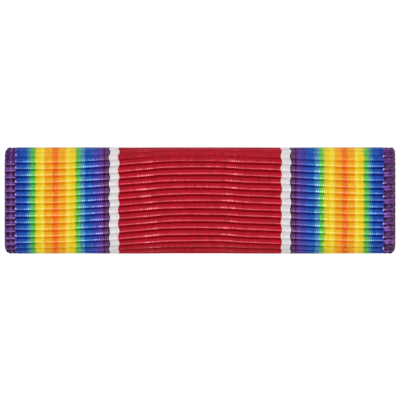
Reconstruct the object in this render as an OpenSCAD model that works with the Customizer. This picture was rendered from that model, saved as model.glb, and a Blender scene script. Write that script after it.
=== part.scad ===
// Ribbon bar: a woven, ribbed ribbon wound round a thin brass plate, with a brass channel
// on its back that slides on to the strip of a ribbon holder.
// It lies on its back: X runs along the bar, Y up its face and Z out of the face,
// with the origin under the middle of the bar, where the channel's lips rest.

/* [Overall size] */
// Length of the bar, which is the woven width of its ribbon
ribbon_width = 34.925; // [30:0.025:40]
// Height of the bar over both rolls of the ribbon
bar_height = 9.525; // [9.2:0.025:11]

/* [Ribbon] */
// Thickness of the ribbon over its ribs
ribbon_thick = 1; // [0.8:0.05:1.2]
// Spacing of the ribs, measured over the outside of the ribbon
rib_pitch = 0.6; // [0.5:0.05:0.8]
// Depth of the groove between two ribs
rib_depth = 0.2; // [0.1:0.05:0.3]
// How far the ribs sag at their lowest end
rib_sag = 0.88; // [0:0.02:1]
// Width of the firmer edge that the weft turns round in
selvedge_width = 1.05; // [0.8:0.05:1.4]
// Inner radius of the ribbon where it turns on to the back
back_bend = 0.05; // [0.04:0.01:0.1]
// Radius that rounds the four corners of the face
corner_radius = 0.32; // [0.1:0.02:0.5]
// Space between the two cut ends on the back
end_space = 1.6; // [0.8:0.1:2.4]

/* [Plate] */
// Thickness of the plate inside the ribbon
plate_thick = 0.45; // [0.4:0.05:0.6]
// Length by which the ribbon stands out past each end of the plate
plate_inset = 0.4; // [0.2:0.05:1]

/* [Slide channel] */
// Width of the slot, for a strip a quarter of an inch wide
slot_width = 6.4; // [6:0.05:6.8]
// Height of the slot
slot_height = 0.8; // [0.7:0.05:1.2]
// Thickness of the channel's sheet
channel_sheet = 0.3; // [0.25:0.05:0.4]
// Width of each turned-in lip, over its bend
lip_width = 1.2; // [0.9:0.05:1.6]
// Outer radius of the channel's bends
channel_bend = 0.45; // [0.41:0.01:0.5]
// Radius that rounds the channel's corners in plan
channel_corner = 0.8; // [0.5:0.05:1]
// Length by which the ribbon stands out past each end of the channel
channel_inset = 0.5; // [0.2:0.05:1]

/* [Fits] */
// Clearance between the ribbon and each piece of metal
clearance = 0.04; // [0.03:0.01:0.06]

/* [Hidden] */
$fn = 48;

// Cut where one solid has to run past another
past = 1;

channel_width = slot_width + 2 * channel_sheet;
channel_height = slot_height + 2 * channel_sheet;

// The ribbon's path: flat on the front, a wide bend, a tight bend, then flat on the back
cavity = plate_thick + 2 * clearance;
front_radius = ribbon_thick + cavity - back_bend;
back_radius = ribbon_thick + back_bend;
front_half = bar_height / 2 - front_radius;
back_half = bar_height / 2 - back_radius;
back_z = channel_height + clearance;
front_z = back_z + front_radius + back_radius;

front_arc = front_radius * PI / 2;
back_arc = back_radius * PI / 2;
half_path = front_half + front_arc + back_arc + back_half - end_space / 2;

// Ribs are drawn in steps from groove to groove, as shares of the groove's depth. Their
// number is even, so that a groove runs along the middle of the front.
RIB_STEPS = [1, 0.25, 0, 0.25];
ribs = 2 * round(half_path / rib_pitch);
rows = ribs * len(RIB_STEPS);

// Sag of the ribs along the bar, at places given as shares of the way from the middle
// to the selvedge, which goes on with the sag that it meets there
PLACE = 0;
SAG = 1;
SAG_TABLE = [
    [-1, 1],
    [-0.8, 0.98],
    [-0.63, 0.83],
    [-0.46, 0.61],
    [-0.3, 0.37],
    [-0.13, 0.16],
    [0.06, 0.13],
    [0.25, 0.31],
    [0.45, 0.44],
    [0.65, 0.64],
    [0.85, 0.78],
    [1, 0.8]
];
// Share of a groove that is left at the ribbon's two edges
EDGE_SHARE = 0.5;
last_column = len(SAG_TABLE) + 1;

// Outer face of the ribbon at a distance from the middle of the front: place and slope
function wrap(along) =
    let (
        far = abs(along),
        side = along > 0 ? -1 : 1,
        past_front = far - front_half,
        past_wide = past_front - front_arc,
        past_tight = past_wide - back_arc
    )
    past_front < 0 ? [side * far, front_z, 0, 1] :
    past_wide < 0 ? bend(side, front_half, front_z - front_radius, front_radius,
                         90 * past_front / front_arc) :
    past_tight < 0 ? bend(side, back_half, back_z + back_radius, back_radius,
                          90 + 90 * past_wide / back_arc) :
    [side * (back_half - past_tight), back_z, 0, -1];

function bend(side, y, z, radius, angle) =
    [side * (y + radius * sin(angle)), z + radius * cos(angle), side * sin(angle), cos(angle)];

function wrap_point(x, along, depth) =
    let (w = wrap(along), y = w[0] - w[2] * depth, z = w[1] - w[3] * depth)
    [x, y, z];

// Half the ribbon's width, drawn in where it rounds the corners of the face
function edge_place(along) =
    let (over = max(0, abs(wrap(along)[0]) - (bar_height / 2 - corner_radius)))
    ribbon_width / 2 - corner_radius + sqrt(max(0, pow(corner_radius, 2) - pow(over, 2)));

// The sag dies away from the rolls to the cut ends, which are straight
function hold(along) =
    let (share = min(1, (half_path - abs(along)) / (half_path - front_half - front_arc)))
    share * share * (3 - 2 * share);

function row_along(row) = half_path * (2 * row / rows - 1);
function groove(row) = rib_depth * RIB_STEPS[row % len(RIB_STEPS)];

// One point of the ribbed outer face. The first column and the last are the ribbon's edges.
function outer_point(row, column) =
    let (
        at_edge = column == 0 || column == last_column,
        entry = SAG_TABLE[max(0, min(len(SAG_TABLE) - 1, column - 1))],
        along = row_along(row) + rib_sag * entry[SAG] * hold(row_along(row)),
        reach = at_edge ? edge_place(along) : ribbon_width / 2 - selvedge_width,
        side = column == 0 ? -1 : 1,
        x = reach * (at_edge ? side : entry[PLACE])
    )
    wrap_point(x, along, groove(row) * (at_edge ? EDGE_SHARE : 1));

// One point of the plain inner face, on the left edge or the right
function inner_point(row, side) =
    wrap_point(side * edge_place(row_along(row)), row_along(row), ribbon_thick);

module ribbon() {
    last = last_column;
    columns = last + 1;
    inner_start = (rows + 1) * columns;
    outer = [for (row = [0:rows], column = [0:last]) outer_point(row, column)];
    inner = [for (row = [0:rows], side = [-1, 1]) inner_point(row, side)];

    outer_faces = [for (row = [0:rows - 1], column = [0:last - 1])
        let (a = row * columns + column, b = a + columns)
        each [[a, a + 1, b], [a + 1, b + 1, b]]];
    inner_faces = [for (row = [0:rows - 1])
        let (a = inner_start + 2 * row, b = a + 2)
        each [[a, b, a + 1], [a + 1, b, b + 1]]];
    edge_faces = [for (row = [0:rows - 1])
        let (
            a = row * columns, b = a + columns,
            c = inner_start + 2 * row, d = c + 2
        )
        each [[a, b, c], [b, d, c], [a + last, c + 1, b + last], [b + last, c + 1, d + 1]]];
    start_face = [inner_start, inner_start + 1, for (column = [last:-1:0]) column];
    end_face = [
        for (column = [0:last]) rows * columns + column,
        inner_start + 2 * rows + 1,
        inner_start + 2 * rows
    ];
    color("firebrick")
    polyhedron(
        concat(outer, inner),
        concat(outer_faces, inner_faces, edge_faces, [start_face, end_face]),
        convexity = 8
    );
}

// Draws a profile, given across the bar, along a length centred on the bar's middle
module along_bar(length)
    translate([-length / 2, 0, 0])
    rotate([90, 0, 90])
    linear_extrude(length) children();

module bar_plate() {
    plate_z = back_z + ribbon_thick + clearance + plate_thick / 2;
    color("darkgoldenrod")
    translate([0, 0, plate_z])
    along_bar(ribbon_width - 2 * plate_inset) {
        square([2 * front_half, plate_thick], center = true);
        for (side = [-1, 1]) translate([side * front_half, 0]) circle(d = plate_thick);
    }
}

// Rectangle with round corners, standing on its lower edge
module round_box(width, height, radius) {
    translate([-width / 2, radius]) square([width, height - 2 * radius]);
    translate([radius - width / 2, 0]) square([width - 2 * radius, height]);
    for (x = [-1, 1], y = [radius, height - radius])
        translate([x * (width / 2 - radius), y]) circle(radius);
}

module channel_profile() {
    inner_bend = channel_bend - channel_sheet;
    mouth = channel_width - 2 * lip_width;
    difference() {
        round_box(channel_width, channel_height, channel_bend);
        translate([0, channel_sheet]) round_box(slot_width, slot_height, inner_bend);
        translate([-mouth / 2, -past]) square([mouth, past + channel_sheet + slot_height / 2]);
    }
}

module slide_channel() {
    length = ribbon_width - 2 * channel_inset;
    color("goldenrod")
    intersection() {
        along_bar(length) channel_profile();
        translate([0, -channel_width / 2, -past])
            linear_extrude(channel_height + 2 * past)
            round_box(length, channel_width, channel_corner);
    }
}

ribbon();
bar_plate();
slide_channel();
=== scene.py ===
import math

import bpy
import numpy as np
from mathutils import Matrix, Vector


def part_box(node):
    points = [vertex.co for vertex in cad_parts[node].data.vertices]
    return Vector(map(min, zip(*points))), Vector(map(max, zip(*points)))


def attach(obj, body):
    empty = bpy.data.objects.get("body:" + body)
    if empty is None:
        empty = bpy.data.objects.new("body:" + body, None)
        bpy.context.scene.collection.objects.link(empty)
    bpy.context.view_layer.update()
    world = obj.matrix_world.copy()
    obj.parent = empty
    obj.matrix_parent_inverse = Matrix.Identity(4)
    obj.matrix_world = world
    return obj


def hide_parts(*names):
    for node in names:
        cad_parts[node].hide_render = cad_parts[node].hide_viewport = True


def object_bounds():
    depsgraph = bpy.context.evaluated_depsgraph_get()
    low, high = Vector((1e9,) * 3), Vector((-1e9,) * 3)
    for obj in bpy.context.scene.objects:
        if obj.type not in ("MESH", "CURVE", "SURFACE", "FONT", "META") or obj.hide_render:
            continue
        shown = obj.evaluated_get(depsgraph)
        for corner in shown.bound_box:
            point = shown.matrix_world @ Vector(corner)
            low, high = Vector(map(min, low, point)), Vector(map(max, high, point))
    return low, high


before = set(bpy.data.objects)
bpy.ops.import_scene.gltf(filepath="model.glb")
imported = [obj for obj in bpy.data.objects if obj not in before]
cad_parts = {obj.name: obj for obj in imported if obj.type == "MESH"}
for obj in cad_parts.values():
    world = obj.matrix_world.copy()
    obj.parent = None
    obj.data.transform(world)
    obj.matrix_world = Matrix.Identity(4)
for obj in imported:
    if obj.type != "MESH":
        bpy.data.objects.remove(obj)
cad_low, cad_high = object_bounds()


# Bar plate
# The strip of rolled brass that the ribbon is wound on, with its long edges rounded over.
# It is held by the tight ribbon alone, and shows only as a thin line at the bar's two ends.


class Wire:
    """An output of a node. Arithmetic on it adds Math nodes to the tree that it is in."""

    def __init__(self, socket):
        self.socket = socket

    @staticmethod
    def node(tree, kind, settings=None, inputs=None, out=0):
        """Adds any other node, its settings before its sockets, and returns one output."""
        made = tree.nodes.new(kind)
        for name, value in (settings or {}).items():
            if name == "stops":
                Wire.set_stops(made.color_ramp, value)
            elif name == "points":
                Wire.set_points(made.mapping, value)
            else:
                setattr(made, name, value)
        for name, value in (inputs or {}).items():
            Wire.feed(made.inputs[name], value)
        return Wire(made.outputs[out])

    @staticmethod
    def feed(socket, value):
        if isinstance(value, Wire):
            socket.id_data.links.new(value.socket, socket)
        else:
            socket.default_value = value

    @staticmethod
    def set_stops(ramp, stops):
        while len(ramp.elements) < len(stops):
            ramp.elements.new(1.0)
        for element, (position, colour) in zip(ramp.elements, stops):
            element.position = position
            element.color = colour

    @staticmethod
    def set_points(mapping, points):
        curve = mapping.curves[0]
        while len(curve.points) < len(points):
            curve.points.new(1.0, 1.0)
        for point, place in zip(curve.points, points):
            point.location = place
        mapping.update()

    def math(self, operation, *others):
        settings = {"operation": operation}
        inputs = dict(enumerate([self, *others]))
        return Wire.node(self.socket.id_data, "ShaderNodeMath", settings, inputs)

    def __add__(self, other):
        return self.math("ADD", other)

    __radd__ = __add__

    def __sub__(self, other):
        return self.math("SUBTRACT", other)

    def __rsub__(self, other):
        return self.math("MULTIPLY", -1.0).math("ADD", other)

    def __mul__(self, other):
        return self.math("MULTIPLY", other)

    __rmul__ = __mul__

    def __truediv__(self, other):
        return self.math("DIVIDE", other)

    def __abs__(self):
        return self.math("ABSOLUTE")

    def __pow__(self, other):
        return self.math("POWER", other)

    def share(self, low, high):
        """0 at low and under, 1 at high and over, and a straight line between them."""
        inputs = {"Value": self, "From Min": low, "From Max": high}
        return Wire.node(self.socket.id_data, "ShaderNodeMapRange", {"clamp": True}, inputs)

    def ease(self, low, high):
        """As share, with a smooth start and end."""
        settings = {"clamp": True, "interpolation_type": "SMOOTHSTEP"}
        inputs = {"Value": self, "From Min": low, "From Max": high}
        return Wire.node(self.socket.id_data, "ShaderNodeMapRange", settings, inputs)


def new_material(name, fixed):
    """A material with one shader, whose sockets hold the fixed values."""
    material = bpy.data.materials.new(name)
    material.use_nodes = True
    shader = material.node_tree.nodes["Principled BSDF"]
    for socket, value in fixed.items():
        shader.inputs[socket].default_value = value
    return material, material.node_tree, shader


def mix_colour(factor, a, b):
    """One colour mixed into another; a and b are colours or wires."""
    inputs = {0: factor, 6: a, 7: b}
    return Wire.node(factor.socket.id_data, "ShaderNodeMix", {"data_type": "RGBA"}, inputs, 2)


def vector_math(operation, *inputs):
    """Vector maths on colours or places, of which at least one is a wire."""
    tree = next(i for i in inputs if isinstance(i, Wire)).socket.id_data
    settings = {"operation": operation}
    return Wire.node(tree, "ShaderNodeVectorMath", settings, dict(enumerate(inputs)))


def noise(place, scale, detail=2.0):
    """Soft noise from 0 to 1. The scale says how fast it changes along each axis."""
    inputs = {"Vector": vector_math("MULTIPLY", place, scale), "Scale": 1.0, "Detail": detail}
    return Wire.node(place.socket.id_data, "ShaderNodeTexNoise", {}, inputs)


def bump(height, distance, strength):
    """Fine relief, for a shader's normal."""
    inputs = {"Height": height, "Distance": distance, "Strength": strength}
    return Wire.node(height.socket.id_data, "ShaderNodeBump", {}, inputs)


MM = 0.001
LINE_DEPTH = 0.004 * MM
# How often the drawn lines and the cloudy tarnish change in a metre along each axis
DRAWN_LINES = (180.0, 26000.0, 26000.0)
CLOUDS = (420.0, 420.0, 420.0)


def brass(name, pale, deep, roughness):
    """Sheet brass: lines drawn along the sheet, cloudy tarnish and a soft polish."""
    material, tree, shader = new_material(name, {"Metallic": 1.0})
    place = Wire.node(tree, "ShaderNodeTexCoord", out=3)
    lines = noise(place, DRAWN_LINES)
    tarnish = noise(place, CLOUDS, 5.0).ease(0.42, 0.7)
    colour = mix_colour(tarnish, (*pale, 1.0), (*deep, 1.0))
    Wire.feed(shader.inputs["Base Color"], colour)
    Wire.feed(shader.inputs["Roughness"], lines * 0.16 + tarnish * 0.1 + (roughness - 0.08))
    Wire.feed(shader.inputs["Normal"], bump(lines, LINE_DEPTH, 0.6))
    return material


def dress(node, material):
    """Gives a CAD node that keeps its shape its own finish."""
    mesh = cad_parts[node].data
    mesh.materials.clear()
    mesh.materials.append(material)


PLATE_PALE = (0.92, 0.65, 0.24)
PLATE_DEEP = (0.7, 0.47, 0.17)
dress("bar_plate", brass("rolled_brass", PLATE_PALE, PLATE_DEEP, roughness=0.42))
plate_low, plate_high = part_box("bar_plate")


# Ribbon
# A warp-faced silk ribbon: fine coloured threads packed side by side cross thick weft cords,
# which show as ribs. It is cut off, wound round the plate, pressed so that the ribs sag
# towards both ends, and its two cut ends are bonded down on the back.

CLEARANCE = 0.04 * MM
RIB_PITCH = 0.6 * MM
RIB_DEPTH = 0.2 * MM
RIB_SAG = 0.88 * MM
SELVEDGE = 1.05 * MM
END_SPACE = 1.6 * MM
CORNER_RADIUS = 0.32 * MM
EDGE_ROUND = 0.12 * MM

ribbon_low, ribbon_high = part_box("ribbon")
half_width = ribbon_high.x
half_height = ribbon_high.y
plate_thick = plate_high.z - plate_low.z
wound_thick = ribbon_high.z - ribbon_low.z
ribbon_thick = (wound_thick - plate_thick) / 2 - CLEARANCE
front_half = plate_high.y - plate_thick / 2
front_radius = half_height - front_half
back_radius = wound_thick - front_radius
back_half = half_height - back_radius
bends = (front_radius + back_radius) * math.pi / 2
half_path = front_half + bends + back_half - END_SPACE / 2
ribs = 2 * round(half_path / RIB_PITCH)
rib_pitch = 2 * half_path / ribs

# How far the ribs sag at places from the left selvedge, 0, to the right one, 1
SAG_CURVE = [
    (0.0, 1.0),
    (0.1, 0.98),
    (0.185, 0.83),
    (0.27, 0.61),
    (0.35, 0.37),
    (0.435, 0.16),
    (0.53, 0.13),
    (0.625, 0.31),
    (0.725, 0.44),
    (0.825, 0.64),
    (0.925, 0.78),
    (1.0, 0.8),
]

# Height of a rib from the bottom of a groove, 0, to the rib's crest, 1: steep at first,
# then a sloping shoulder, then nearly flat
RIB_CURVE = [
    (0.0, 0.0),
    (0.1, 0.19),
    (0.25, 0.48),
    (0.4, 0.7),
    (0.55, 0.875),
    (0.68, 0.965),
    (0.8, 0.99),
    (1.0, 1.0),
]

# Rows of the mesh within one rib, closer together at the grooves where the face is steep
SEEN_ROWS = [0, 0.035, 0.07, 0.11, 0.16, 0.24, 0.32, 0.42, 0.58, 0.68, 0.76, 0.84, 0.89, 0.93, 0.965]
HIDDEN_ROWS = [0, 0.11, 0.25, 0.5, 0.75, 0.89]
COLUMN_SPACE = 0.18 * MM
SELVEDGE_COLUMNS = 16
WALL_STEPS = 6


def flat_ribbon(name):
    """The ribbon laid flat, as long as its outer face is once wound: a ring for each row."""
    steps = np.arange(1, WALL_STEPS) / WALL_STEPS
    bulge = EDGE_ROUND * np.sqrt(1 - (2 * steps - 1) ** 2)
    reach = half_width - EDGE_ROUND
    inner = half_width - SELVEDGE
    middle = np.linspace(-inner, inner, round(2 * inner / COLUMN_SPACE))
    edge = np.linspace(inner, reach, SELVEDGE_COLUMNS + 1)[1:]
    face = np.concatenate([-edge[::-1], middle, edge])
    ring_x = np.concatenate([face, reach + bulge, [reach, -reach], -reach - bulge])
    ring_deep = np.concatenate([0 * face, steps, [1, 1], steps[::-1]]) * ribbon_thick
    seen = front_half + bends
    rows = [
        (rib + step) * rib_pitch - half_path
        for rib in range(ribs)
        for step in (SEEN_ROWS if abs((rib + 0.5) * rib_pitch - half_path) < seen else HIDDEN_ROWS)
    ] + [half_path]
    count = len(ring_x)
    points = np.empty((len(rows), count, 3))
    points[:, :, 0] = ring_x
    points[:, :, 1] = np.array(rows)[:, None]
    points[:, :, 2] = -ring_deep
    start = np.arange(len(rows) - 1)[:, None] * count
    here = np.arange(count)[None, :]
    after = (here + 1) % count
    quads = np.stack([start + here, start + after, start + count + after, start + count + here], 2)
    last = (len(rows) - 1) * count
    ends = [list(range(count))[::-1], list(range(last, last + count))]
    mesh = bpy.data.meshes.new(name)
    mesh.from_pydata(points.reshape(-1, 3).tolist(), [], quads.reshape(-1, 4).tolist() + ends)
    smooth = np.ones(len(mesh.polygons), bool)
    smooth[-len(ends):] = False
    mesh.polygons.foreach_set("use_smooth", smooth)

    # The weave's own map: millimetres across the ribbon, and ribs along it
    corners = np.empty(len(mesh.loops), int)
    mesh.loops.foreach_get("vertex_index", corners)
    flat = points.reshape(-1, 3)[corners]
    weave = np.stack([flat[:, 0] / MM, (flat[:, 1] + half_path) / rib_pitch], 1)
    mesh.uv_layers.new(name="weave").data.foreach_set("uv", weave.astype(np.float32).ravel())
    return bpy.data.objects.new(name, mesh)


# How often the ribs wander in a metre across the ribbon and along it
WANDER_RATE = (150.0, 800.0, 0.0)
# The ribs of the lower part of the face sag a little more, in full from here down
LOW_FACE = -3.3 * MM
# The upper roll is pressed flatter, between these two stretches of the ribbon's path
PRESSED_FROM = (3.3 * MM, 4.2 * MM)
PRESSED_TO = (7.5 * MM, 6.0 * MM)


def separate(vector):
    """The three numbers of a vector."""
    split = vector.socket.id_data.nodes.new("ShaderNodeSeparateXYZ")
    Wire.feed(split.inputs[0], vector)
    return [Wire(output) for output in split.outputs]


def rib_drift(here, size):
    """How far the ribs sag and wander in full over the front, and not at the cut ends."""
    x, flat_along, _ = separate(here)
    inner_half = size["Half Width"] - size["Selvedge"]
    place = (x / inner_half * 0.5 + 0.5).share(0.0, 1.0)
    tree = here.socket.id_data
    sag = Wire.node(tree, "ShaderNodeFloatCurve", {"points": SAG_CURVE}, {"Value": place})
    front_arc = size["Front Radius"] * (math.pi / 2)
    free = size["Half Path"] - size["Front Half"] - front_arc
    hold = ((size["Half Path"] - abs(flat_along)) / free).ease(0.0, 1.0)
    wander = (noise(here, WANDER_RATE, 1.0) - 0.5) * size["Wander"]
    low_sag = flat_along.share(-LOW_FACE, LOW_FACE) * size["Low Sag"]
    return (size["Rib Sag"] * sag + wander + low_sag) * hold


def wound_face(along, size):
    """Outer face of the wound ribbon: distance from the middle, height and angle turned."""
    front_arc = size["Front Radius"] * (math.pi / 2)
    back_arc = size["Back Radius"] * (math.pi / 2)
    tight_start = size["Front Half"] + front_arc
    far = abs(along)
    wide_angle = ((far - size["Front Half"]) / front_arc).share(0.0, 1.0) * (math.pi / 2)
    tight_angle = ((far - tight_start) / back_arc).share(0.0, 1.0) * (math.pi / 2)
    back_run = (far - tight_start - back_arc).math("MAXIMUM", 0.0)
    out = (
        far.math("MINIMUM", size["Front Half"])
        + size["Front Radius"] * wide_angle.math("SINE")
        - size["Back Radius"] * (1.0 - tight_angle.math("COSINE"))
        - back_run
    )
    up = (
        size["Front Height"]
        - size["Front Radius"] * (1.0 - wide_angle.math("COSINE"))
        - size["Back Radius"] * tight_angle.math("SINE")
    )
    return out, up, wide_angle + tight_angle


def rib_relief(flat_along, along, beyond, size):
    """Depth under the crests, and height in the rib as a share. Each weft cord is a full
    round rib. The selvedge's ribs are out of step with them, in two cords side by side."""
    in_selvedge = beyond.share(0.0, 0.06)
    phase = (flat_along + size["Half Path"]) / size["Rib Pitch"] + in_selvedge * 0.25
    from_groove = 1.0 - abs(phase.math("FRACT") - 0.5) * 2.0
    tree = along.socket.id_data
    rib = Wire.node(tree, "ShaderNodeFloatCurve", {"points": RIB_CURVE}, {"Value": from_groove})
    cords = abs((beyond * (2 * math.pi)).math("SINE")) ** 0.5
    pressed = along.ease(*PRESSED_FROM) * along.ease(*PRESSED_TO)
    rib_share = (1.0 - in_selvedge * 0.55) * (1.0 - pressed * 0.58)
    relief = (1.0 - rib) * size["Rib Depth"] * rib_share
    return relief + (1.0 - cords) * in_selvedge * size["Selvedge Groove"], rib


def edge_inset(x, flat_along, out, rib, beyond, size):
    """How far the edge is drawn in, at the face's corners, the right ones less, and in a
    scallop between two ribs."""
    at_right = x.share(-0.1 * MM, 0.1 * MM)
    at_top = flat_along.share(-0.1 * MM, 0.1 * MM)
    radius = size["Corner Radius"] * (1.1 - at_right * (0.15 + 0.55 * at_top))
    over = (out - size["Half Height"] + radius).math("MAXIMUM", 0.0)
    still_out = (radius**2.0 - over**2.0).math("MAXIMUM", 0.0).math("SQRT")
    scallop = (1.0 - rib) * beyond.share(0.8, 1.0) * size["Scallop"]
    return (radius - still_out) * beyond + scallop


def winding_tree(sizes, material):
    """Node tree that raises the ribs on a flat ribbon and winds it round the plate."""
    tree = bpy.data.node_groups.new("ribbon_winding", "GeometryNodeTree")
    for way in ("INPUT", "OUTPUT"):
        tree.interface.new_socket("Geometry", in_out=way, socket_type="NodeSocketGeometry")
    keys = {}
    for name in sizes:
        made = tree.interface.new_socket(name, in_out="INPUT", socket_type="NodeSocketFloat")
        keys[name] = made.identifier
    group = tree.nodes.new("NodeGroupInput")
    size = {name: Wire(group.outputs[name]) for name in sizes}

    here = Wire.node(tree, "GeometryNodeInputPosition")
    x, flat_along, height = separate(here)
    lift = 1.0 + height / size["Thickness"]
    along = flat_along - rib_drift(here, size) * lift
    out, up, turn = wound_face(along, size)
    inner_half = size["Half Width"] - size["Selvedge"]
    beyond = ((abs(x) - inner_half) / size["Selvedge"]).share(0.0, 1.0)
    relief, rib = rib_relief(flat_along, along, beyond, size)
    inset = edge_inset(x, flat_along, out, rib, beyond, size)
    deep = relief * lift - height
    wound = Wire.node(
        tree,
        "ShaderNodeCombineXYZ",
        {},
        {
            0: x - x.math("SIGN") * inset,
            1: along.math("SIGN") * (out - turn.math("SINE") * deep),
            2: up - turn.math("COSINE") * deep,
        },
    )
    moved = Wire.node(
        tree, "GeometryNodeSetPosition", {}, {0: Wire(group.outputs[0]), "Position": wound}
    )
    real = Wire.node(tree, "GeometryNodeRealizeInstances", {}, {0: moved})
    last = Wire.node(tree, "GeometryNodeSetMaterial", {}, {0: real, "Material": material})
    output = tree.nodes.new("NodeGroupOutput")
    Wire.feed(output.inputs[0], last)
    return tree, keys


# The sharp lines of one half, from the middle out: where each begins, in millimetres, its
# dye, and how much painted shade darkens and deepens that dye in the grooves
LINES = [
    ("red", 0.0, (176, 18, 38), 1.0),
    ("white", 7.24, (224, 219, 221), 1.0),
    ("maroon", 8.08, (64, 32, 52), 0.9),
    ("violet", 8.18, (102, 60, 120), 0.8),
    ("maroon", 8.43, (74, 40, 66), 0.9),
    ("plum", 8.59, (92, 54, 112), 0.8),
    ("rainbow", 8.68, (96, 58, 152), 0.8),
]
# The rainbow's stripes, whose threads mingle where two of them meet
RAINBOW = [
    ("violet", 8.6, (94, 58, 150), 0.75),
    ("blue violet", 9.1, (64, 66, 162), 0.85),
    ("royal blue", 9.57, (28, 86, 171), 1.0),
    ("light blue", 10.3, (77, 138, 181), 1.0),
    ("green", 10.64, (98, 185, 86), 1.0),
    ("yellow", 11.08, (235, 207, 0), 0.9),
    ("pale yellow", 11.6, (243, 214, 60), 0.8),
    ("amber", 11.98, (239, 168, 16), 0.65),
    ("orange", 12.64, (238, 116, 36), 0.5),
    ("amber", 13.18, (239, 168, 16), 0.65),
    ("pale yellow", 13.86, (243, 214, 60), 0.8),
    ("yellow", 14.2, (236, 207, 0), 0.9),
    ("green", 14.66, (88, 182, 84), 1.0),
    ("light blue", 15.08, (71, 132, 172), 1.0),
    ("royal blue", 15.36, (24, 80, 166), 1.0),
    ("indigo", 16.02, (44, 60, 154), 1.0),
]
# Other places in millimetres: the middles of the white line and of the rainbow, and the
# selvedge's inner side
WHITE_MIDDLE = 7.65
RAINBOW_MIDDLE = 12.8
SELVEDGE_START = 16.46
# Widths in millimetres: of one thread, and of how far the dyes mingle, the threads sway, the
# outer ones lie to the left and the white line's borders waver
WARP_PITCH = 0.187
MINGLE = 0.1
SWAY = 0.1
LEFT_SHIFT = 0.03
WAVER = 0.056
# Selvedge colours. The lilac and the line's colour also serve as painted highlights on the ridges,
# and the maroon partly as painted shade.
SELVEDGE_VIOLET = (96, 52, 134)
SELVEDGE_LILAC = (154, 100, 200)
SELVEDGE_MAROON = (42, 8, 40)
SELVEDGE_LINE = (150, 104, 168)
SELVEDGE_BROWN = (104, 66, 84)
SELVEDGE_BLACK = (26, 3, 32)
SELVEDGE_AMBER = (196, 130, 78)
SELVEDGE_FLECK = (226, 220, 236)
# Depth of the fine groove between two threads
THREAD_RELIEF = 0.009 * MM

# How often the weave's unevenness changes in a millimetre across and in a rib along
SWAY_RATE = (0.7, 0.7, 0.7)
SLUB_RATE = (2.2, 4.0, 1.0)
MOTTLE_RATE = (9.0, 2.6, 1.0)

# Heights up the face where the rolls begin, and where they are reached in full. The
# selvedges turn on to the upper one a little sooner.
UPPER_ROLL = (3.3 * MM, 4.1 * MM)
SELVEDGE_ROLL = (3.0 * MM, 3.5 * MM)
LOWER_ROLL = (-3.6 * MM, -4.2 * MM)

# Where a painted highlight glints on threads one by one on the ridges: place in the middle
# rib, how far it moves with each rib upwards, half width and strength
PAINTED_GLINT_SPOTS = [
    (-15.4, 0.0, 0.5, 0.4),
    (-10.2, 0.04, 0.9, 0.5),
    (-9.15, 0.0, 0.75, 0.85),
    (-4.6, -0.06, 1.0, 0.95),
    (2.62, 0.05, 0.9, 0.95),
    (10.75, -0.02, 0.7, 0.8),
    (15.5, 0.0, 0.8, 0.35),
]
# Where the cloth bends a little and its ridges gleam: place, half width and strength
GLEAMS = [(-9.3, 0.9, 0.8), (-4.6, 1.2, 1.0), (2.9, 1.3, 1.0), (10.5, 0.5, 0.8)]


def paint(rgb):
    """Screen values from 0 to 255 as a linear colour, less the cloth's own faint lustre."""
    lustre = 0.006
    shares = [value / 255 for value in rgb]
    linear = [s / 12.92 if s < 0.04045 else ((s + 0.055) / 1.055) ** 2.4 for s in shares]
    return (*(max(0.001, value - lustre) for value in linear), 1.0)


def sharp_stops(stripes, low, high):
    """A stop where each line begins, with its dye and, as alpha, how much painted shade darkens it
    in the grooves.
    """
    return [
        ((start - low) / (high - low), (*paint(rgb)[:3], groove_shade))
        for _, start, rgb, groove_shade in stripes
    ]


def mingled_stops(stripes, low, high):
    """Two stops a stripe, so that its colour is even but for a narrow blend at each side."""
    ends = [start for _, start, _, _ in stripes[1:]] + [high]
    stops = []
    for (_, start, rgb, groove_shade), end in zip(stripes, ends):
        for place in (start + MINGLE, end - MINGLE):
            stops.append(((place - low) / (high - low), (*paint(rgb)[:3], groove_shade)))
    return stops


def colour_ramp(place, stops, kind):
    """The colour of a ramp at a place from 0 to 1, and its alpha."""
    tree = place.socket.id_data
    colour = Wire.node(tree, "ShaderNodeValToRGB", {"stops": stops}, {"Fac": place})
    ramp = colour.socket.node
    ramp.color_ramp.interpolation = kind
    return colour, Wire(ramp.outputs[1])


def band(value, low, high, soft):
    """1 between low and high, 0 outside, with soft edges."""
    return value.ease(low - soft, low + soft) * value.ease(high + soft, high - soft)


def below_even_groove(ribs_along):
    """Ribs below the last groove of an even number, from 0 to 2."""
    return 2.0 - (ribs_along * 0.5).math("FRACT") * 2.0


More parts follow.
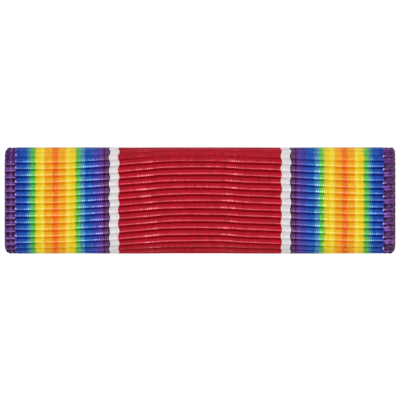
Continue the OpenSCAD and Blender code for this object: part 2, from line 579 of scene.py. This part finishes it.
def left_selvedge(from_start, down_rib, mottle, on_upper_roll):
    """Two columns of maroon threads, which come up in a block below each lilac ridge line. The
    block fades down the rib partly as painted shade, the lilac line is partly painted
    highlight, and the lighter lower part of each rib is painted highlight.
    """
    # Painted shade in part: the maroon block is darkest just below the line and fades down the rib
    block = down_rib.ease(0.12, 0.22) * (1.0 - down_rib.ease(0.35, 0.95) * 0.75)
    block = block * (1.0 - on_upper_roll) + on_upper_roll * 0.55
    inner = band(from_start, 0.05, 0.31, 0.02)
    outer = band(from_start, 0.54, 0.81, 0.05)
    between = from_start.ease(0.0, 0.04) * from_start.ease(1.0, 0.9)
    # The lilac line is partly lilac threads and partly a painted highlight on the ridge
    line = band(down_rib, 0.03, 0.14, 0.03) * (1.0 - on_upper_roll) * 0.75
    # Painted highlight lightens the lower part of each rib
    low_light = band(from_start, 0.35, 0.47, 0.04) * down_rib.ease(0.5, 0.95)
    light = low_light * (mottle + 0.3) + from_start.ease(0.84, 0.98) * 0.15
    colour = mix_colour(light, paint(SELVEDGE_VIOLET), paint(SELVEDGE_LILAC))
    maroon = (outer * 0.7 + between * 0.35) * block * (0.5 + mottle)
    colour = mix_colour(maroon.math("MINIMUM", 1.0), colour, paint(SELVEDGE_MAROON))
    black = inner * block * (0.4 + mottle)
    colour = mix_colour(black.math("MINIMUM", 1.0), colour, paint(SELVEDGE_BLACK))
    return mix_colour(line, colour, paint(SELVEDGE_LINE))


def right_selvedge(from_start, ribs_along, mottle, on_upper_roll):
    """Dark spots inside, mottled violet threads, a dotted maroon column and a brown edge, with
    lilac painted highlights and maroon painted shade in bands along each rib.
    """
    below = below_even_groove(ribs_along)
    spots = band(below, 0.36, 0.78, 0.05) + band(below, 1.31, 1.62, 0.05)
    spots = spots + band(below, 0.85, 1.15, 0.05) * 0.6
    spots = spots * (1.0 - on_upper_roll * 0.4) * band(from_start, -0.06, 0.16, 0.02)
    # Painted highlights in lilac bands along each rib
    light = band(below, 1.6, 1.95, 0.1) * 0.45 + band(below, 0.08, 0.2, 0.06) * 0.7
    light = light * (1.0 - on_upper_roll) * (mottle * 1.6 + 0.2) * from_start.ease(0.78, 0.4)
    # Painted shade in maroon bands along each rib, mottled with the dye's own unevenness
    shadow = (band(below, 0.35, 0.9, 0.1) + band(below, 1.3, 1.55, 0.05)) * 0.45
    shadow = shadow + (0.5 - mottle) * 2.4
    dots = (ribs_along * (4 * math.pi)).math("SINE") * 0.5 + 0.5
    column = band(from_start, 0.47, 0.66, 0.03)
    edge = from_start.ease(0.73, 0.81)
    colour = mix_colour(light, paint(SELVEDGE_VIOLET), paint(SELVEDGE_LILAC))
    colour = mix_colour((column + edge) * 0.9, colour, paint(SELVEDGE_BROWN))
    shadow = shadow.math("MAXIMUM", 0.0) + column * dots * 0.6
    colour = mix_colour(shadow, colour, paint(SELVEDGE_MAROON))
    colour = mix_colour(spots.math("MINIMUM", 1.0), colour, paint(SELVEDGE_BLACK))
    amber = band(from_start, 0.05, 0.13, 0.02) * band(below, 1.1, 1.28, 0.05) * 0.7
    return mix_colour(amber, colour, paint(SELVEDGE_AMBER))


def flecks(from_start, at_right, ribs_along):
    """The turns of a light thread, seen at every second rib along the selvedge's inner side."""
    below = below_even_groove(ribs_along)
    left = band(from_start, -0.06, 0.01, 0.03) * (
        band(below, 0.5, 0.8, 0.08) * 0.85 + band(below, 1.5, 1.8, 0.08) * 0.3
    )
    right = band(from_start, -0.14, -0.02, 0.03) * band(below, 1.05, 1.32, 0.06) * 0.9
    return left * (1.0 - at_right) + right * at_right


def stripe_dyes(from_middle, strayed):
    """The dye at a distance from the middle, and how much painted shade darkens it in the grooves.
    """
    edge = LINES[-1][1]
    lines_end = edge * 1.01
    in_rainbow = from_middle.share(edge - 0.01, edge + 0.01)
    lines, lines_groove_shade = colour_ramp(
        from_middle.share(0.0, lines_end), sharp_stops(LINES, 0.0, lines_end), "CONSTANT"
    )
    rainbow, rainbow_groove_shade = colour_ramp(
        strayed.share(edge, SELVEDGE_START), mingled_stops(RAINBOW, edge, SELVEDGE_START), "LINEAR"
    )
    groove_shade = lines_groove_shade + (rainbow_groove_shade - lines_groove_shade) * in_rainbow
    return mix_colour(in_rainbow, lines, rainbow), groove_shade


def with_selvedges(stripes, across, ribs_along, mottle, on_upper_roll):
    """The stripes with both selvedges laid over them, and where those are."""
    from_start = abs(across) - SELVEDGE_START
    at_right = across.share(-0.01, 0.01)
    down_rib = 1.0 - ribs_along.math("FRACT")
    left_end = left_selvedge(from_start, down_rib, mottle, on_upper_roll)
    right_end = right_selvedge(from_start, ribs_along, mottle, on_upper_roll)
    in_selvedge = (from_start + at_right * 0.07).share(-0.01, 0.01)
    dyed = mix_colour(in_selvedge, stripes, mix_colour(at_right, left_end, right_end))
    fleck = flecks(from_start, at_right, ribs_along)
    return mix_colour(fleck, dyed, paint(SELVEDGE_FLECK)), in_selvedge


def painted_groove_shade(dyed):
    """Painted shade for the dye between two ribs: darker and deeper, as where light goes from thread
    to thread.
    """
    share = vector_math("MULTIPLY_ADD", dyed, (1.1, 1.1, 1.1), (0.2, 0.2, 0.2))
    return vector_math("MULTIPLY", dyed, vector_math("MINIMUM", share, (1.0, 1.0, 1.0)))


def painted_highlight_colour(dyed):
    """The painted highlight colour where a thread glints: the dye made paler, and yellower where it
    holds yellow.
    """
    highlight_colour = vector_math("MULTIPLY_ADD", dyed, (1.5, 2.4, 1.5), (0.16, 0.15, 0.19))
    return vector_math("MINIMUM", highlight_colour, (1.25, 1.25, 1.25))


def chance_of(thread):
    """A number from 0 to 1 that is a thread's own, all along it."""
    settings = {"noise_dimensions": "1D"}
    return Wire.node(thread.socket.id_data, "ShaderNodeTexWhiteNoise", settings, {"W": thread})


def painted_thread_glint(across, ribs_along, sway, bead, turn, lightness):
    """How strongly a highlight is painted on single threads, most of all on those that lie slanted
    at a few places, and evenly on light dyes.
    """
    up_from_middle = ribs_along - ribs / 2
    slanted = 0.2
    for spot, lean, half, strength in PAINTED_GLINT_SPOTS:
        from_spot = abs(across - up_from_middle * lean - spot)
        slanted = from_spot.ease(half, 0.3 * half) * strength + slanted
    slanted = slanted * (sway.ease(0.38, 0.6) * 1.1 + 0.35)
    picked = turn.share(0.0, 0.6) * 0.7 + 0.3
    return bead**2.0 * (picked * slanted + 0.075) * (1.0 - lightness * 0.5) + lightness * 0.13


def ribbon_weave():
    """Silk threads in stripes, each a little lighter or darker, with a satin lustre, painted shade
    between the ribs and painted highlights on their lower sides.
    """
    material, tree, shader = new_material("ribbon_weave", {"IOR": 1.25, "Coat Roughness": 0.3})
    weave = Wire.node(tree, "ShaderNodeUVMap", {"uv_map": "weave"})
    across, ribs_along, _ = separate(weave)
    down_rib = 1.0 - ribs_along.math("FRACT")
    sway = noise(weave, SWAY_RATE)
    slub = noise(weave, SLUB_RATE, 3.0)
    mottle = noise(weave, MOTTLE_RATE)

    # The rolls are told apart from the flat face by height up the face
    _, up_face, _ = separate(Wire.node(tree, "ShaderNodeTexCoord", out=3))
    on_upper_roll = up_face.ease(*UPPER_ROLL)
    on_lower_roll = up_face.ease(*LOWER_ROLL)

    # Threads sway a little, and the outer ones lie a hair to the left. Each comes up at every
    # second rib only, so those of one rib lie half a thread beside those of the next.
    below = below_even_groove(ribs_along)
    swayed = across + (sway - 0.5) * SWAY + abs(across).ease(13.4, 14.2) * LEFT_SHIFT
    threads = (swayed + band(below, 1.25, 1.9, 0.12) * (0.5 * WARP_PITCH)) / WARP_PITCH
    bead = 1.0 - ((threads.math("FRACT") - 0.5) * 2.0) ** 2.0

    # The white line's borders waver with them
    near_white = abs(abs(across) - WHITE_MIDDLE).ease(0.8, 0.5)
    waver = ((below - 1.575) * math.pi).math("COSINE") * near_white
    from_middle = abs(swayed + waver * WAVER)

    # Two numbers for each thread, and a third for each time that it comes up, decide its
    # shade, its gloss and how far it strays
    thread = threads.math("FLOOR")
    chance = chance_of(thread)
    other_chance = chance_of(thread + 0.5)
    thread_and_rib = Wire.node(
        tree, "ShaderNodeCombineXYZ", {}, {0: thread, 1: ribs_along.math("FLOOR"), 2: 0.5}
    )
    turn = Wire.node(tree, "ShaderNodeTexWhiteNoise", {}, {"Vector": thread_and_rib})

    # Threads of the rainbow stray, and on the crests its warm dyes spread over the cold ones
    on_crest = band(down_rib, 0.42, 0.85, 0.15)
    strayed = from_middle - (from_middle - RAINBOW_MIDDLE) * on_crest * 0.016
    strayed = strayed + (chance - 0.5) * 0.1 + (turn - 0.5) * 0.07 + (slub - 0.5) * 0.15
    stripes, groove_shade = stripe_dyes(from_middle, strayed)
    selvedge_roll = up_face.ease(*SELVEDGE_ROLL)
    dyed, in_selvedge = with_selvedges(stripes, across, ribs_along, mottle, selvedge_roll)
    # Painted shade darkens and deepens the dye between the ribs, less on the upper roll
    groove_shade_mask = abs(down_rib - 0.5).ease(0.225, 0.5) * (1.0 - in_selvedge)
    groove_shade_mask = groove_shade_mask * (1.0 - on_upper_roll * 0.6) * groove_shade
    coloured = mix_colour(groove_shade_mask, dyed, painted_groove_shade(dyed))

    # On deep dyes the silk's lustre takes their colour, and on light ones it lies clear on top
    lightness = Wire.node(tree, "ShaderNodeRGBToBW", {}, {"Color": dyed})
    lustre = (0.25 - lightness * 0.5).math("MAXIMUM", 0.0) * (1.0 - on_lower_roll * 0.8)
    coat = (0.1 + lightness * 0.6) * (1.0 - on_lower_roll * 0.8)
    Wire.feed(shader.inputs["Metallic"], lustre)
    Wire.feed(shader.inputs["Coat Weight"], coat)

    # A highlight is painted on the threads where they pass over the lower side of a rib
    ridge_highlight_mask = down_rib.ease(0.5, 0.68) * down_rib.ease(0.91, 0.78) * (1.0 - on_upper_roll * 0.8)
    painted_glint = ridge_highlight_mask * painted_thread_glint(across, ribs_along, sway, bead, turn, lightness)
    coloured = mix_colour(painted_glint.math("MINIMUM", 1.0), coloured, painted_highlight_colour(dyed))

    # Slubs and threads differ a little in shade, and threads show most on deep dyes
    thready = 1.0 - lightness.ease(0.0, 0.7) + in_selvedge * 0.6
    shade = 0.95 + lustre * 0.6 + (slub - 0.5) * 0.3 + (chance - 0.5) * 0.05
    shade = shade + ((turn - 0.5) * 0.3 + (bead - 0.67) * 0.34) * thready
    # Painted shade: the lower roll is a little darker
    shade = shade * (1.0 - on_lower_roll * 0.09)
    shaded = Wire.node(
        tree, "ShaderNodeVectorMath", {"operation": "SCALE"}, {0: coloured, "Scale": shade}
    )
    Wire.feed(shader.inputs["Base Color"], shaded)

    # The gloss changes from thread to thread, and is strongest where the cloth gleams
    gleam = 0.0
    for spot, half, strength in GLEAMS:
        gleam = abs(across - spot).ease(half, 0.0) * strength + gleam
    gloss = gleam * 0.12 + (other_chance - 0.5) * 0.06 + (turn - 0.5) * 0.12 + (slub - 0.5) * 0.3
    Wire.feed(shader.inputs["Roughness"], 0.31 - gloss + on_lower_roll * 0.45 + (1.0 - bead) * 0.1)

    # Each thread is round, so a fine groove runs between it and the next
    thread_height = bead * (0.6 + 0.4 * other_chance) + slub * 0.6
    Wire.feed(shader.inputs["Normal"], bump(thread_height, THREAD_RELIEF, 0.9))
    return material


winding_sizes = {
    "Front Half": front_half,
    "Front Radius": front_radius,
    "Back Radius": back_radius,
    "Half Path": half_path,
    "Front Height": ribbon_high.z,
    "Half Width": half_width,
    "Half Height": half_height,
    "Thickness": ribbon_thick,
    "Selvedge": SELVEDGE,
    "Rib Pitch": rib_pitch,
    "Rib Depth": RIB_DEPTH,
    "Rib Sag": RIB_SAG,
    "Low Sag": 0.05 * MM,
    "Corner Radius": CORNER_RADIUS,
    "Selvedge Groove": 0.07 * MM,
    "Scallop": 0.05 * MM,
    "Wander": 0.16 * MM,
}
ribbon = flat_ribbon("ribbon_weave")
bpy.context.scene.collection.objects.link(ribbon)
winding, keys = winding_tree(winding_sizes, ribbon_weave())
modifier = ribbon.modifiers.new("winding", "NODES")
modifier.node_group = winding
for name, value in winding_sizes.items():
    modifier[keys[name]] = value
depsgraph = bpy.context.evaluated_depsgraph_get()
wound_mesh = bpy.data.meshes.new_from_object(
    ribbon.evaluated_get(depsgraph), preserve_all_data_layers=True, depsgraph=depsgraph
)
ribbon.modifiers.clear()
ribbon.data = wound_mesh
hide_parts("ribbon")
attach(ribbon, "root")
cut_length = 2 * (half_path - ribbon_thick * math.pi / 2)


# Slide channel
# A plain stamped brass channel bonded over the ribbon's two cut ends. Its turned-in lips
# run on the strip of a ribbon holder, which has rubbed them a little brighter, though here
# the whole channel is simply a paler, glossier brass than the plate.

CHANNEL_PALE = (1.0, 0.72, 0.26)
CHANNEL_DEEP = (0.8, 0.54, 0.18)
dress("slide_channel", brass("stamped_brass", CHANNEL_PALE, CHANNEL_DEEP, roughness=0.34))


# Table, lights and camera
# A plain white table under soft light from overhead and from above the bar's face. A low
# light below the face gives the lower side of each rib its gloss, and nothing else.

FLOOR_REACH = 0.6
floor_mesh = bpy.data.meshes.new("floor")
floor_mesh.from_pydata(
    [(x * FLOOR_REACH, y * FLOOR_REACH, cad_low.z) for x, y in ((-1, -1), (1, -1), (1, 1), (-1, 1))],
    [],
    [(0, 1, 2, 3)],
)
floor = bpy.data.objects.new("floor", floor_mesh)
bpy.context.scene.collection.objects.link(floor)
floor_material, _, _ = new_material(
    "white_table",
    {
        "Base Color": (0.3, 0.3, 0.3, 1.0),
        "Roughness": 0.9,
        "Emission Color": (1.0, 1.0, 1.0, 1.0),
        "Emission Strength": 0.85,
    },
)
floor_mesh.materials.append(floor_material)
floor.visible_glossy = False


def softbox(name, azimuth, elevation, size, brightness):
    """A square light aimed at the bar. Azimuth 0 is below the face, 90 to its right."""
    distance = 0.25
    a, e = math.radians(azimuth), math.radians(elevation)
    lamp = bpy.data.lights.new(name, "AREA")
    lamp.size = size
    lamp.energy = brightness * math.pi**2 * distance**2
    light = bpy.data.objects.new(name, lamp)
    light.location = (
        distance * math.sin(a) * math.cos(e),
        -distance * math.cos(a) * math.cos(e),
        distance * math.sin(e),
    )
    light.rotation_mode = "QUATERNION"
    light.rotation_quaternion = light.location.to_track_quat("Z", "Y")
    light.visible_camera = False
    bpy.context.scene.collection.objects.link(light)
    return light


key = softbox("key", azimuth=-10.0, elevation=74.0, size=0.06, brightness=0.32)
sheen = softbox("sheen", azimuth=-4.0, elevation=18.0, size=0.18, brightness=0.95)
overhead = softbox("overhead", azimuth=180.0, elevation=80.0, size=0.2, brightness=0.265)
low_fill = softbox("low fill", azimuth=180.0, elevation=24.0, size=0.3, brightness=0.25)
sheen.visible_diffuse = False
for light in (key, overhead, low_fill):
    light.visible_glossy = False
world = bpy.data.worlds.new("studio")
world.use_nodes = True
world.node_tree.nodes["Background"].inputs["Color"].default_value = (1.0, 1.0, 1.0, 1.0)
world.node_tree.nodes["Background"].inputs["Strength"].default_value = 0.45
bpy.context.scene.world = world

# The camera looks straight down on the face, which fills the picture but for a narrow rim.
# The picture's width is measured at the level of the selvedges, and its centre is a hair high.
PICTURE_WIDTH = 35.73 * MM
CENTRE_HIGH = 0.045 * MM
LENS = 350.0
camera_data = bpy.data.cameras.new("camera")
camera_data.lens = LENS
camera = bpy.data.objects.new("camera", camera_data)
distance = PICTURE_WIDTH * LENS / camera_data.sensor_width
camera.location = (0.0, CENTRE_HIGH, ribbon_high.z - ribbon_thick / 2 + distance)
camera_data.clip_start = distance * 0.1
camera_data.clip_end = distance * 10
bpy.context.scene.collection.objects.link(camera)
bpy.context.scene.camera = camera
bpy.context.scene.view_settings.view_transform = "Standard"
